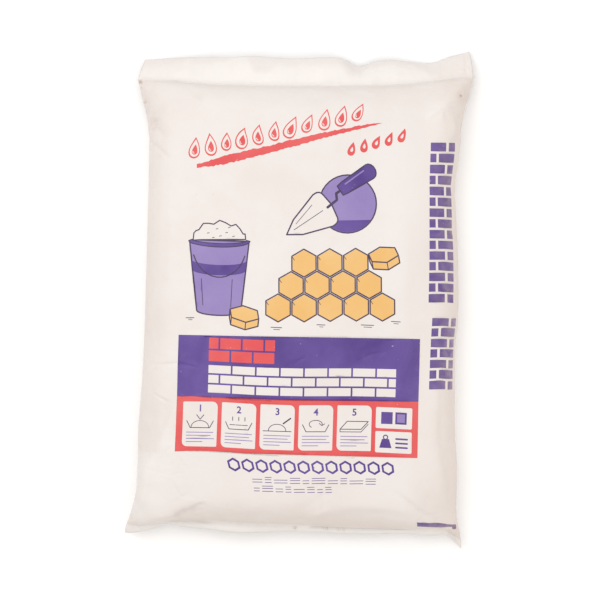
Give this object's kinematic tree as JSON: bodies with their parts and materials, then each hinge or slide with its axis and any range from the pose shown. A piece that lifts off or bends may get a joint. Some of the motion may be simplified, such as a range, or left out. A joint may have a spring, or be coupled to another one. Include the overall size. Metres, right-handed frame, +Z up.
{
  "type": "cement bag",
  "caption": "Filled plastic cement bag lying flat, sealed across both ends, with a free header above the top seal and small corner ears.",
  "frame": {"origin": "on the floor under the middle of the bag's bounding box, at the level of its flat underside", "axes": "+Z up out of the printed face, +Y along the bag towards the header, +X to the right of someone reading the print"},
  "size_m": [0.4, 0.573, 0.078],
  "materials": {
    "film": "printed polyethylene film, soft sheen"
  },
  "bodies": {
    "root": {"filled_sack": "film"}
  },
  "joints": []
}
